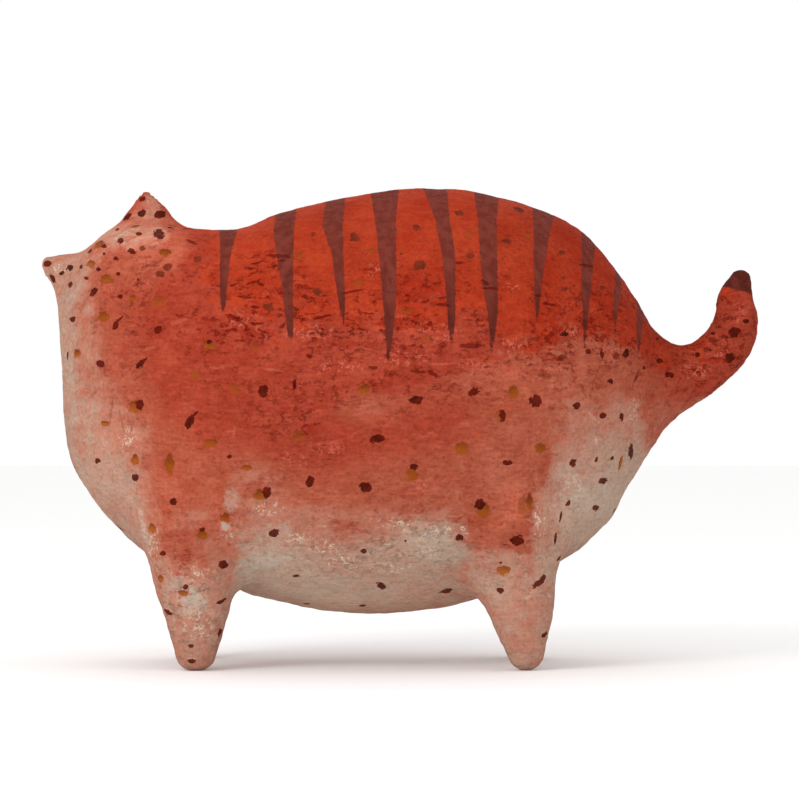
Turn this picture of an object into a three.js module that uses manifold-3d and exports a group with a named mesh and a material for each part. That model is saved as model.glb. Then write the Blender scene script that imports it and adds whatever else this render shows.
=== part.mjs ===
// Papier-mache cat: a stout, sealed figure on four stubby legs, with its head turned to its right.
// The form is one skin over a blend of simple volumes, as paper pulp is built up over a round core:
// an egg-shaped body with the head in its front corner, two pinched ears, four tapered legs and a tail.
// Millimetres. X runs from the head (-X) to the tail (+X), Y to the cat's right, Z up from the floor.
import * as THREE from "three";
import { SimplifyModifier } from "three/addons/modifiers/SimplifyModifier.js";
import { mergeVertices } from "three/addons/utils/BufferGeometryUtils.js";
import Module from "manifold-3d";

// Body: the side outline runs clockwise from the chest as [x, z], without ears, legs and tail.
const SIDE_OUTLINE = [
  [-169.3, 176],
  [-163, 194],
  [-145, 213],
  [-125, 219.5],
  [-87, 216.3],
  [-58, 225],
  [-22, 234],
  [22, 237.6],
  [60, 230.5],
  [91, 216],
  [113, 191.5],
  [131, 152],
  [128, 116],
  [116, 88.5],
  [106, 71],
  [90.5, 56],
  [38, 32],
  [-2, 25.7],
  [-45, 28],
  [-129, 57],
  [-161, 94],
  [-167.3, 122],
];
const NAPE_X = -88;
const NAPE_LENGTH = 42;
const NAPE_FILL = 12;
const NAPE_HALF_WIDTH = 80;
const BODY_CENTRE = new THREE.Vector3(-20, 0, 132);
const BODY_HALF_WIDTH = 93;
const BODY_FULLNESS = 2.15;

// Legs: round-ended cones that run up into the flanks, a front and a rear one on each side.
const LEFT = -1;
const RIGHT = 1;
const LEGS = [
  { side: LEFT, footX: -99.2, hipX: -99.2, footRadius: 10.4 },
  { side: LEFT, footX: 62.3, hipX: 54, footRadius: 9.7 },
  { side: RIGHT, footX: -103.4, hipX: -102.8, footRadius: 10.4 },
  { side: RIGHT, footX: 65.4, hipX: 57, footRadius: 9.7 },
];
const FOOT_HEIGHT = 8.2;
const FOOT_OFFSET = 47;
const HIP_RADIUS = 26.5;
const HIP_HEIGHT = 66;
const HIP_OFFSET = 44;
const LEG_BLEND = 16;

// Ears: flattened cones that splay from the line of the head, which leans forward.
const EARS = [
  { root: [-158, 191], tip: [-176.6, 200.2], rootRadius: 18 },
  { root: [-124.4, 212], tip: [-126.4, 233.6], rootRadius: 21 },
];
const EAR_TIP_RADIUS = 2.8;
const EAR_FLATNESS = 0.7;
const EAR_BLEND = 8;

// Tail: a tapered tube that leaves the rump and curls up, as [x, z, radius].
const TAIL_LINE = [
  [112, 138, 22],
  [130, 140.5, 19.5],
  [144, 144, 15.2],
  [156, 151, 13],
  [164.5, 160, 12.2],
  [168.2, 170, 11],
  [168.8, 184.4, 8.4],
  [169.4, 191, 6.4],
];
const TAIL_STEPS = 28;
const TAIL_BLEND = 16;

// Face, on the far side: a low muzzle and a nose, placed down from the middle of the ear line.
const EAR_LINE_MIDDLE = new THREE.Vector3(-152, 0, 218);
const HEAD_LEAN = THREE.MathUtils.degToRad(35);
const MUZZLE_DROP = 64;
const MUZZLE_DEPTH = 64;
const MUZZLE_RADII = new THREE.Vector3(22, 15, 17);
const MUZZLE_BLEND = 14;
const NOSE_RISE = 8;
const NOSE_DEPTH = 76;
const NOSE_RADIUS = 5;
const NOSE_BLEND = 6;

// Skin: spacing of the sampling grid, and the triangles kept where the form is tightly curved.
const CELL = 4.5;
const SKIN_TRIANGLES = 9000;
const GRID_LOW = new THREE.Vector3(-189, -104, -12);
const GRID_HIGH = new THREE.Vector3(189, 104, 246);
const SNAP_STEPS = 4;
const PROBE = 0.01;

const FULL_TURN = 2 * Math.PI;
const OUTLINE_SAMPLES = 720;

// Joins two distances with a fillet of about the given radius.
function smoothUnion(a, b, radius) {
  const overlap = Math.max(radius - Math.abs(a - b), 0) / radius;
  return Math.min(a, b) - (overlap * overlap * radius) / 4;
}

// Reads a closed side outline as a radius for each angle about the body's centre.
function polarOutline(points) {
  const curve = new THREE.CatmullRomCurve3(
    points.map(([x, z]) => new THREE.Vector3(x, 0, z)),
    true,
    "centripetal",
  );
  const samples = curve
    .getPoints(OUTLINE_SAMPLES)
    .map((p) => p.sub(BODY_CENTRE))
    .map((p) => ({ angle: Math.atan2(p.z, p.x), radius: Math.hypot(p.x, p.z) }))
    .sort((a, b) => a.angle - b.angle);
  const first = samples[0];
  const last = samples[samples.length - 1];
  samples.unshift({ angle: last.angle - FULL_TURN, radius: last.radius });
  samples.push({ angle: first.angle + FULL_TURN, radius: first.radius });
  return (angle) => {
    let low = 0;
    let high = samples.length - 1;
    while (high - low > 1) {
      const middle = (low + high) >> 1;
      if (samples[middle].angle <= angle) low = middle;
      else high = middle;
    }
    const span = samples[high].angle - samples[low].angle || 1;
    const share = (angle - samples[low].angle) / span;
    return THREE.MathUtils.lerp(samples[low].radius, samples[high].radius, share);
  };
}

// The nape dips only along the spine, so the flanks follow an outline with the nape filled.
function napeFill(x, z) {
  return z < BODY_CENTRE.z ? 0 : NAPE_FILL * Math.exp(-(((x - NAPE_X) / NAPE_LENGTH) ** 2));
}

const spineOutline = polarOutline(SIDE_OUTLINE);
const flankOutline = polarOutline(SIDE_OUTLINE.map(([x, z]) => [x, z + napeFill(x, z)]));

function bodyDistance(p) {
  const x = p.x - BODY_CENTRE.x;
  const z = p.z - BODY_CENTRE.z;
  const angle = Math.atan2(z, x);
  const flank = THREE.MathUtils.smoothstep(Math.abs(p.y), 0, NAPE_HALF_WIDTH);
  const reach = THREE.MathUtils.lerp(spineOutline(angle), flankOutline(angle), flank);
  const along = Math.hypot(x, z) / reach;
  const across = Math.abs(p.y) / BODY_HALF_WIDTH;
  const level = (along ** BODY_FULLNESS + across ** BODY_FULLNESS) ** (1 / BODY_FULLNESS);
  return (1 - 1 / Math.max(level, PROBE)) * Math.hypot(x, p.y, z);
}

// Distance to a cone with round ends, whose radius runs evenly from one end to the other.
function roundConeDistance(p, start, end, startRadius, endRadius) {
  const axis = end.clone().sub(start);
  const offset = p.clone().sub(start);
  const share = THREE.MathUtils.clamp(offset.dot(axis) / axis.lengthSq(), 0, 1);
  const radius = THREE.MathUtils.lerp(startRadius, endRadius, share);
  return offset.addScaledVector(axis, -share).length() - radius;
}

const legEnds = LEGS.map(({ side, footX, hipX, footRadius }) => ({
  foot: new THREE.Vector3(footX, side * FOOT_OFFSET, FOOT_HEIGHT),
  hip: new THREE.Vector3(hipX, side * HIP_OFFSET, HIP_HEIGHT),
  footRadius,
}));

function legDistance(p) {
  const distances = legEnds.map(({ foot, hip, footRadius }) =>
    roundConeDistance(p, foot, hip, footRadius, HIP_RADIUS),
  );
  return Math.min(...distances);
}

const earEnds = EARS.map(({ root, tip, rootRadius }) => ({
  root: new THREE.Vector3(root[0], 0, root[1]),
  tip: new THREE.Vector3(tip[0], 0, tip[1]),
  rootRadius,
}));

function earDistance(p) {
  const flattened = new THREE.Vector3(p.x, p.y / EAR_FLATNESS, p.z);
  const distances = earEnds.map(({ root, tip, rootRadius }) =>
    roundConeDistance(flattened, root, tip, rootRadius, EAR_TIP_RADIUS),
  );
  return Math.min(...distances) * EAR_FLATNESS;
}

// The tail's curve carries its radius in the Y coordinate, because the tail lies in the middle plane.
const tailCurve = new THREE.CatmullRomCurve3(
  TAIL_LINE.map(([x, z, radius]) => new THREE.Vector3(x, radius, z)),
  false,
  "centripetal",
);
const tailStations = tailCurve.getPoints(TAIL_STEPS).map((p) => ({
  place: new THREE.Vector3(p.x, 0, p.z),
  radius: p.y,
}));

function tailDistance(p) {
  let nearest = Infinity;
  for (let i = 0; i < TAIL_STEPS; i++) {
    const [a, b] = [tailStations[i], tailStations[i + 1]];
    nearest = Math.min(nearest, roundConeDistance(p, a.place, b.place, a.radius, b.radius));
  }
  return nearest;
}

// Axes of the face: across runs from ear to ear, and up leans with the head.
const faceAcross = new THREE.Vector3(Math.cos(HEAD_LEAN), 0, Math.sin(HEAD_LEAN));
const faceUp = new THREE.Vector3(-Math.sin(HEAD_LEAN), 0, Math.cos(HEAD_LEAN));

function facePoint(drop, depth) {
  return EAR_LINE_MIDDLE.clone().addScaledVector(faceUp, -drop).setY(depth);
}

const muzzleCentre = facePoint(MUZZLE_DROP, MUZZLE_DEPTH);
const noseCentre = facePoint(MUZZLE_DROP - NOSE_RISE, NOSE_DEPTH);

function muzzleDistance(p) {
  const offset = p.clone().sub(muzzleCentre);
  const scaled = new THREE.Vector3(
    offset.dot(faceAcross) / MUZZLE_RADII.x,
    offset.dot(faceUp) / MUZZLE_RADII.y,
    offset.y / MUZZLE_RADII.z,
  );
  return (1 - 1 / Math.max(scaled.length(), PROBE)) * offset.length();
}

// The whole figure: negative inside, zero on the skin.
function catDistance(p) {
  let distance = smoothUnion(bodyDistance(p), legDistance(p), LEG_BLEND);
  distance = smoothUnion(distance, earDistance(p), EAR_BLEND);
  distance = smoothUnion(distance, tailDistance(p), TAIL_BLEND);
  distance = smoothUnion(distance, muzzleDistance(p), MUZZLE_BLEND);
  return smoothUnion(distance, p.distanceTo(noseCentre) - NOSE_RADIUS, NOSE_BLEND);
}

// Moves a point along the field's slope until it lies on the skin.
function snapToSkin(p) {
  for (let step = 0; step < SNAP_STEPS; step++) {
    const value = catDistance(p);
    const slope = new THREE.Vector3(
      catDistance(p.clone().setX(p.x + PROBE)) - value,
      catDistance(p.clone().setY(p.y + PROBE)) - value,
      catDistance(p.clone().setZ(p.z + PROBE)) - value,
    ).divideScalar(PROBE);
    p.addScaledVector(slope, -value / slope.lengthSq());
  }
  return p;
}

// Surface nets: one vertex in each grid cell that the skin crosses, one quad round each crossed grid edge.
function skinGeometry() {
  const counts = GRID_HIGH.clone().sub(GRID_LOW).divideScalar(CELL).ceil().addScalar(1).toArray();
  const strides = [1, counts[0], counts[0] * counts[1]];
  const total = strides[2] * counts[2];
  const indexOf = (node) => [0, 1, 2].map((axis) => Math.floor(node / strides[axis]) % counts[axis]);
  const placeOf = (node) => new THREE.Vector3(...indexOf(node)).multiplyScalar(CELL).add(GRID_LOW);
  const values = Float64Array.from({ length: total }, (_, node) => catDistance(placeOf(node)));
  const corners = [0, 1, 2, 3, 4, 5, 6, 7].map((bits) =>
    [0, 1, 2].reduce((sum, axis) => sum + ((bits >> axis) & 1) * strides[axis], 0),
  );

  const vertices = [];
  const vertexOfCell = new Map();
  for (let cell = 0; cell < total; cell++) {
    if (indexOf(cell).some((n, axis) => n === counts[axis] - 1)) continue;
    const middle = new THREE.Vector3();
    let crossings = 0;
    for (let a = 0; a < corners.length; a++) {
      for (let axis = 0; axis < 3; axis++) {
        const b = a | (1 << axis);
        const [from, to] = [cell + corners[a], cell + corners[b]];
        if (a === b || values[from] < 0 === values[to] < 0) continue;
        const share = values[from] / (values[from] - values[to]);
        middle.add(placeOf(from).lerp(placeOf(to), share));
        crossings++;
      }
    }
    if (!crossings) continue;
    vertexOfCell.set(cell, vertices.length);
    vertices.push(snapToSkin(middle.divideScalar(crossings)));
  }

  const triangles = [];
  for (let node = 0; node < total; node++) {
    const place = indexOf(node);
    for (let axis = 0; axis < 3; axis++) {
      const [u, v] = [(axis + 1) % 3, (axis + 2) % 3];
      if (place[axis] === counts[axis] - 1 || !place[u] || !place[v]) continue;
      const [inside, nextInside] = [values[node] < 0, values[node + strides[axis]] < 0];
      if (inside === nextInside) continue;
      const ring = [0, strides[u], strides[u] + strides[v], strides[v]];
      const quad = ring.map((back) => vertexOfCell.get(node - back));
      if (!inside) quad.reverse();
      const [a, b, c, d] = quad;
      const shortAcross =
        vertices[a].distanceTo(vertices[c]) <= vertices[b].distanceTo(vertices[d]);
      triangles.push(...(shortAcross ? [a, b, c, a, c, d] : [a, b, d, b, c, d]));
    }
  }
  const positions = new THREE.Float32BufferAttribute(vertices.flatMap((p) => p.toArray()), 3);
  return new THREE.BufferGeometry().setAttribute("position", positions).setIndex(triangles);
}

// Drops vertices on the broad, gently curved flanks. Those that stay keep their places on the skin.
async function lightened(geometry) {
  const kept = (SKIN_TRIANGLES * geometry.attributes.position.count) / (geometry.index.count / 3);
  return new SimplifyModifier().modify(geometry, geometry.attributes.position.count - Math.round(kept));
}

const wasm = await Module();
wasm.setup();

function solidOf(geometry) {
  const bare = geometry.clone();
  bare.deleteAttribute("normal");
  bare.deleteAttribute("uv");
  const merged = mergeVertices(bare);
  return new wasm.Manifold(
    new wasm.Mesh({
      numProp: 3,
      vertProperties: new Float32Array(merged.attributes.position.array),
      triVerts: new Uint32Array(merged.index.array),
    }),
  );
}

function geometryOf(solid) {
  const { vertProperties, triVerts } = solid.getMesh();
  return new THREE.BufferGeometry()
    .setAttribute("position", new THREE.BufferAttribute(vertProperties, 3))
    .setIndex(new THREE.BufferAttribute(triVerts, 1));
}

// The feet are pressed flat on the floor: everything below it is cut away.
function floorBlock() {
  const size = GRID_HIGH.clone().sub(GRID_LOW);
  const block = new THREE.BoxGeometry(size.x, size.y, -GRID_LOW.z);
  const middle = GRID_LOW.clone().add(GRID_HIGH).divideScalar(2);
  return block.translate(middle.x, middle.y, GRID_LOW.z / 2);
}

// Puts the origin on the floor, under the middle of the figure's box.
function centreOnFloor(geometry) {
  geometry.computeBoundingBox();
  const middle = geometry.boundingBox.getCenter(new THREE.Vector3());
  return geometry.translate(-middle.x, -middle.y, -geometry.boundingBox.min.z);
}

const skin = await lightened(skinGeometry());
const standing = solidOf(skin).subtract(solidOf(floorBlock()));
const paintedPaper = new THREE.MeshStandardMaterial({
  color: 0xb9563f,
  roughness: 0.75,
  metalness: 0,
});
const cat = new THREE.Mesh(centreOnFloor(geometryOf(standing)), paintedPaper);
cat.name = "cat";

const figure = new THREE.Group();
figure.add(cat);
export default figure;
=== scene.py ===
import math
import random
from collections import namedtuple
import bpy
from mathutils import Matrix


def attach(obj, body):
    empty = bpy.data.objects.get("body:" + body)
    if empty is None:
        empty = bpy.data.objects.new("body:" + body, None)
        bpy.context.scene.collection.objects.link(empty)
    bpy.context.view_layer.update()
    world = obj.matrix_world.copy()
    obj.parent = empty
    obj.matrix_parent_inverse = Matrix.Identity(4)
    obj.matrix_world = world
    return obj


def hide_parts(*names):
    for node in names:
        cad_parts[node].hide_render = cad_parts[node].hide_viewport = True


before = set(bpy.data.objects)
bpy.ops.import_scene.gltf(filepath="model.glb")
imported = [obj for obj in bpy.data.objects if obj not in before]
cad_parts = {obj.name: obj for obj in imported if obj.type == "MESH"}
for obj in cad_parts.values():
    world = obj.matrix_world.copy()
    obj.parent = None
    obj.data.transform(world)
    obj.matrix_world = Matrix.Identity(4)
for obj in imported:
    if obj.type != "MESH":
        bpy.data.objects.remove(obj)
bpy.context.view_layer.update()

from types import SimpleNamespace

import bmesh
import bpy
import numpy as np
from mathutils import Vector, noise
from mathutils.bvhtree import BVHTree
from mathutils.kdtree import KDTree

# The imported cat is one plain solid. This script gives it an even, hand-pressed paper skin,
# brushes its coats, stripes and dabs on as procedural paint, and lights it softly.
# Sizes are in millimetres until they reach Blender, which works in metres.
MM = 0.001

# The eye that the painted marks are placed from: level, on the cat's left side
EYE_DISTANCE = 2000.0
EYE_HEIGHT = 131.9
EYE_SHIFT = -0.4
LENS = 180.0
SENSOR = 36.0

# Paper skin
SKIN_STEP = 1.75
WELD = 0.01
SMOOTHING_ROUNDS = 14
SMOOTH_IN = 0.5
SMOOTH_OUT = -0.53
LUMPS = ((62.0, 0.8), (24.0, 0.5), (9.0, 0.22))
PULP_SIZE = 3.8
PULP_HEIGHT = 0.18
ROUGH_PULP_HEIGHT = 0.55
SOLE_CLEARANCE = 5.0
FOOT_TOP = 17.0
FOOT_ROUNDS = 16
# Swellings and hollows pressed into the outline, as (x, z, reach, height)
SWELLINGS = (
    (-171, 145, 24, -2.2), (-156, 90, 18, -0.9), (-141, 68, 15, -1.6), (-177, 203, 8, 1.9),
    (-150, 213, 10, 2.0), (-134, 225, 8, 1.6), (-127, 236, 6, 1.4), (-119, 228, 8, 1.7),
    (-77, 219, 13, -1.6), (133, 166, 12, -1.2), (159, 182, 7, 1.2), (164, 193, 4, -1.2),
    (174, 195, 5, 1.5), (179, 170, 12, 0.6), (95, 62, 9, -1.8), (113, 86, 9, -1.5),
    (104, 72, 10, -0.9), (84, 51, 7, -1.0), (77, 30, 15, 1.5), (-122, 42, 12, 1.1),
    (143, 127, 11, -1.2), (127, 111, 8, 1.1), (-171, 205, 8, 0.8), (-81.5, 37, 5, -1.1),
)
# Folds pressed in where the legs leave the body: both ends as (x, z), reach and depth
LEG_FOLDS = (
    ((-132, 95), (-128, 58), 4.5, 1.8),
    ((77, 98), (76, 50), 4.5, 1.8),
)

# Lower edge of the vermilion coat on the back, as (across, up) in the side view,
# and how far it fades
RED_EDGE = (
    (-190, 262), (-125, 250), (-108, 230), (-100, 210), (-92, 190), (-78, 174), (-55, 170),
    (0, 172), (25, 176), (42, 170), (52, 160), (72, 158), (86, 168), (106, 163), (122, 154),
    (136, 151), (148, 158), (158, 174), (168, 196), (190, 204),
)
RED_FADE = 14.0
RED_FADE_WASHES = (
    (75, 162, 24, 14, 4.0),
    (120, 155, 18, 12, 5.0),
    (-102, 214, 16, 22, 24.0),
)
# Lower edge of the salmon coat on the flanks, head and front legs, and how far it fades
SALMON_EDGE = (
    (-190, 300), (-164, 262), (-160, 205), (-158, 184), (-157, 172), (-154, 156), (-148, 136),
    (-135, 112), (-127, 88), (-120, 56), (-108, 44), (-98, 46), (-87, 54), (-80, 74), (-72, 84),
    (-60, 79), (-20, 77), (24, 75), (31, 66), (34, 56), (65, 57), (68, 85), (76, 91), (77, 104),
    (83, 117), (84, 126), (100, 130), (120, 124), (136, 114), (166, 133), (190, 146),
)
SALMON_FADE = 16.0
SALMON_FADE_WASHES = (
    (72, 84, 12, 36, 3.0),
    (48, 56, 24, 7, 8.0),
    (12, 77, 22, 8, 6.0),
    (-40, 82, 24, 8, 6.0),
    (104, 124, 30, 30, 30.0),
    (-148, 160, 22, 36, 21.0),
    (-84, 68, 18, 24, 32.0),
)
# A wash is (across, up, half width, half height, value):
# a soft oval that pulls a map towards its value.
# Salmon runs from -1, bare undercoat, to 1, full salmon
SALMON_WASHES = (
    (-142, 214, 26, 13, -0.45),
    (-172, 196, 12, 12, -0.8),
    (-125, 230, 15, 15, 0.05),
    (-119, 214, 12, 9, -0.1),
    (-22, 68, 24, 12, 0.15),
    (113, 108, 9, 18, -1.0),
    (128, 121, 7, 14, 0.6),
    (-66, 92, 16, 12, 0.3),
    (100, 146, 26, 14, 0.6),
    (-105, 73, 13, 13, 0.12),
    (-132, 112, 7, 12, -0.2),
)
# Where the salmon deepens towards red, and how far that fades
FLUSH_EDGE = (
    (-190, 320), (-152, 205), (-143, 172), (-121, 124), (-99, 108), (-77, 108), (-55, 102),
    (-33, 95), (-11, 102), (11, 104), (33, 112), (52, 148), (70, 166), (99, 172), (112, 160),
    (126, 139), (150, 127), (190, 133),
)
FLUSH_FADE = 14.0
FLUSH_WASHES = (
    (-48, 124, 24, 16, 2.2),
    (-14, 129, 30, 12, -0.7),
    (36, 140, 30, 10, -0.7),
    (-124, 207, 34, 22, -1.4),
    (-118, 224, 16, 14, -1.2),
    (100, 146, 20, 12, -0.6),
)
# How pink the bare undercoat is, from 0 to 1
BASE_PINKNESS = 0.5
PINK_WASHES = (
    (-172, 120, 26, 70, 0.35),
    (-140, 134, 14, 26, 0.95),
    (-160, 205, 34, 20, 0.65),
    (-103, 30, 20, 36, 0.75),
    (62, 32, 20, 34, 0.6),
    (96, 118, 24, 18, 1.0),
    (-70, 83, 24, 15, 0.9),
    (106, 78, 28, 34, 0.05),
    (71, 70, 8, 24, 0.85),
    (-66, 50, 24, 13, 0.05),
    (-36, 34, 60, 8, 0.25),
    (12, 56, 20, 12, 0.1),
    (160, 138, 26, 14, 0.9),
    (72, 50, 9, 10, 0.4),
    (90, 94, 11, 10, 0.7),
    (90, 72, 10, 9, 0.0),
    (-50, 72, 12, 10, 1.1),
    (-10, 52, 13, 9, 0.5),
)
# Painted light and shade: how much brighter or darker the coats are drawn where they stand in for
# light, as on the head top and the underside, and for shade, as on the upper back and rump; 1 is even
BASE_PAINTED_LIGHT = 1.0
PAINTED_LIGHT_AND_SHADE_WASHES = (
    (-122, 212, 42, 15, 1.36),
    (-25, 30, 75, 12, 1.28),
    (102, 84, 24, 24, 1.12),
    (-114, 92, 24, 26, 1.12),
    (-118, 184, 22, 14, 1.1),
    (-88, 166, 30, 12, 1.14),
    (-148, 100, 12, 22, 1.12),
    (155, 160, 28, 22, 0.9),
    (58, 80, 7, 9, 1.35),
    (24, 231, 55, 11, 1.1),
    (12, 172, 20, 13, 1.14),
    (-84, 212, 18, 13, 1.14),
    (-88, 152, 24, 12, 1.08),
    (58, 142, 26, 16, 1.09),
    (-50, 112, 12, 11, 0.88),
    (66, 212, 20, 24, 0.9),
    (94, 76, 18, 14, 1.12),
)
# Where the surface is left rough and the coats break up, from 0 to 1
BASE_ROUGHNESS = 0.28
ROUGH_WASHES = (
    (-20, 234, 130, 24, 0.06),
    (-10, 172, 100, 22, 1.0),
    (-70, 180, 26, 26, 1.0),
    (88, 165, 34, 22, 0.8),
    (-122, 190, 24, 26, 0.55),
    (158, 162, 28, 32, 0.95),
    (-46, 122, 22, 12, 0.85),
    (-104, 34, 20, 26, 0.8),
    (62, 60, 22, 22, 0.5),
    (-20, 140, 60, 14, 0.6),
    (-30, 58, 40, 14, 0.6),
    (15, 62, 24, 14, 0.7),
)

# Stripes across the back, each from its top to its tip as (up, across, width)
STRIPES = (
    ((217, -85.5, 9), (205, -87, 5.5), (189, -88, 4), (180, -88.3, 2.6), (175, -88.5, 0)),
    ((224, -57, 10.5), (214, -58, 10), (201, -57, 8), (189, -56, 5.8), (172, -55, 4),
     (163, -54.5, 2), (154, -54.5, 0)),
    ((232, -32, 9.5), (219, -33.5, 10.5), (205, -31, 5.8), (189, -29.5, 4.4), (175, -28.5, 2.4),
     (168, -28, 0)),
    ((236, -7.5, 14), (222, -7, 10.5), (197, -5.5, 8), (180, -5, 6.5), (168, -5, 4.5),
     (156, -5.5, 2), (147, -5.5, 0)),
    ((237, 18, 11.5), (222, 21.5, 7.4), (205, 24.5, 6.8), (189, 25.5, 5), (172, 26, 3.6),
     (155, 26, 0)),
    ((233, 43.5, 12), (222, 44, 9.4), (205, 44.5, 8.8), (189, 45.5, 7.4), (176, 46.5, 5.4),
     (164, 46.3, 2.6), (153, 46, 0)),
    ((224, 72, 10.5), (214, 71, 7.8), (197, 69.5, 5), (182, 69, 3), (168, 69, 0)),
    ((212, 94.5, 7), (201, 94, 6), (189, 93.5, 5), (170, 92.8, 2.4), (157, 92.5, 0)),
    ((194, 109.5, 3.6), (180, 108.5, 2.8), (163, 107.5, 0)),
    ((177, 120.5, 3.4), (165, 120, 2.6), (153, 119.3, 0)),
)
FAR_STRETCH = (0.8, 1.15)

# The dark tail tip starts on a plane that slopes down towards the back
TIP_START_X = 150.0
TIP_LEVEL = 188.6
TIP_FROM_X = 161.0
TIP_SLOPE = -0.26

# Brush dabs on the seen side: (across, up, length, width, tilt in degrees);
# a dab with only a length is round
HEAD_DABS = (
    (-128.6, 232.5, 3.3, 2.4), (-128.6, 225.3, 4.1, 3.3), (-136, 223.4, 5, 2.1, 40),
    (-119.5, 224.6, 5.4), (-120.3, 215, 6.2, 4.6, -20), (-114.5, 218, 3.3, 2, -30),
    (-106.6, 217.6, 3.7, 2, -20), (-141, 217, 2.2), (-130.3, 215, 3, 2), (-139.5, 211.5, 3.5),
    (-134, 206.4, 4.5, 2.9, -15), (-142, 202.6, 2.3), (-154.8, 206.4, 3, 2, 30),
    (-148, 208.8, 3, 2), (-147.7, 205, 1.6), (-176.3, 200, 4, 3.4), (-164.7, 198, 4.2, 3.2),
    (-159.3, 198.5, 2.6, 3), (-168.9, 195.2, 3.4, 1.8, 40), (-173.4, 192.7, 5, 2.2, -70),
    (-164.7, 189.6, 3.5), (-156.4, 192.7, 2), (-150.6, 197.3, 2.2), (-140.7, 195, 2.3),
    (-153, 186, 5, 3, 60), (-139.8, 183.6, 2.4), (-130.7, 192, 1.6), (-163.5, 172.4, 3.5),
    (-142, 169.5, 5, 2.6, 65), (-120.8, 167, 4.4),
)
CHEST_DABS = (
    (-166, 154, 4.6, 1, 85), (-149.4, 150, 4), (-129.5, 150, 5, 3.2, 45), (-105, 121, 7.5, 3.4, 62),
    (-130, 129.5, 3.6, 5), (-95, 161, 2.6), (-150.9, 101.7, 3.3), (-132.2, 93.2, 4.4),
    (-113.2, 81, 3.8), (-139.7, 68, 5, 2, -40), (-98.7, 67, 3.2, 2.4),
    (-102.2, 124.8, 3.6, 1.2, 52), (-127, 152.2, 3, 1.1, 50), (-139.6, 172.6, 3.4, 1, 42),
)
FLANK_DABS = (
    (-68, 136.3, 6.2, 4.6, 80), (-52.4, 139.2, 5.6, 1.8, 85), (-45, 153.7, 2.6),
    (8.3, 131.8, 7, 4.2, 15), (36.9, 135.9, 6, 3.6, 30), (-11, 112.4, 7.6, 4.2, 15),
    (-44.8, 91, 5.6, 4, 60), (-16.7, 88, 6, 5), (7, 98.5, 4, 3), (40.5, 80, 6, 4.6),
    (53.9, 100.6, 4.4, 2.6), (68.2, 131, 5.4, 6), (51.5, 124, 3, 5), (-66.5, 85.5, 4.5, 5.5),
    (-62.7, 65.5, 4.8), (-18.2, 56.3, 3, 2.4), (30, 63, 3.6), (3, 61.5, 1.2), (-52, 44, 3.4, 1.6),
    (-8.8, 39, 5.4, 2.8, -15), (23.5, 36.6, 6.4, 2.6, 12), (-18.2, 29.2, 4, 1.4),
    (-46.3, 30, 3.4, 1.2), (58.8, 61.9, 7.2, 5), (-85, 103.5, 2.4),
)
RUMP_DABS = (
    (82.8, 165, 3.6, 2.2), (94.2, 156.2, 2.8), (101.2, 155, 4.6, 2, -75),
    (113.4, 155.3, 4.2, 3, 75), (105.4, 141.2, 2.6), (122.4, 148, 2), (129.8, 151.6, 3),
    (135.2, 144.6, 4.4, 3), (129, 162.5, 1.8), (88.8, 129, 3.8), (101.6, 123.8, 3.6),
    (111, 123.6, 4, 2, 80), (86.7, 100.4, 4.6, 3.4, 80), (98.5, 102, 3, 1.4, 70),
    (106.3, 103, 2.6, 1.4, 70), (115.8, 106, 7.6, 2.4, 85), (101.8, 91.5, 4.2, 3.2),
    (84.5, 80.3, 3.4, 1.8, 60), (80.6, 73.6, 6, 1.2, 80), (98, 78, 3.4, 2.4, 50),
    (107.4, 76.7, 3, 1.4, 65), (77.9, 62.5, 6.4, 1.4, 85), (79.9, 52.7, 3.4, 1.6, 30),
)
LEG_DABS = (
    (-88.2, 49.7, 5), (-118.3, 55.3, 2.6), (-88.7, 31.3, 4.8, 1.4, 38), (-115.7, 25.7, 4.2, 2, -40),
    (-89.7, 15.5, 4, 1.6, 70), (-104.2, 8.9, 3, 2), (-107, 38.5, 3, 2), (50, 36.6, 3.4),
    (70.2, 41, 9.5, 2.8, 42), (72.8, 14.7, 3.4, 1.6, 50), (50.5, 50.5, 1.4), (-103.7, 1.4, 4, 2.4),
)
TAIL_DABS = (
    (167.7, 166, 6.5, 5, 40), (173, 171.3, 3, 1.8), (165, 153, 5.5, 4, 45), (149, 154.2, 3),
    (156.5, 165.2, 2),
)
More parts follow.
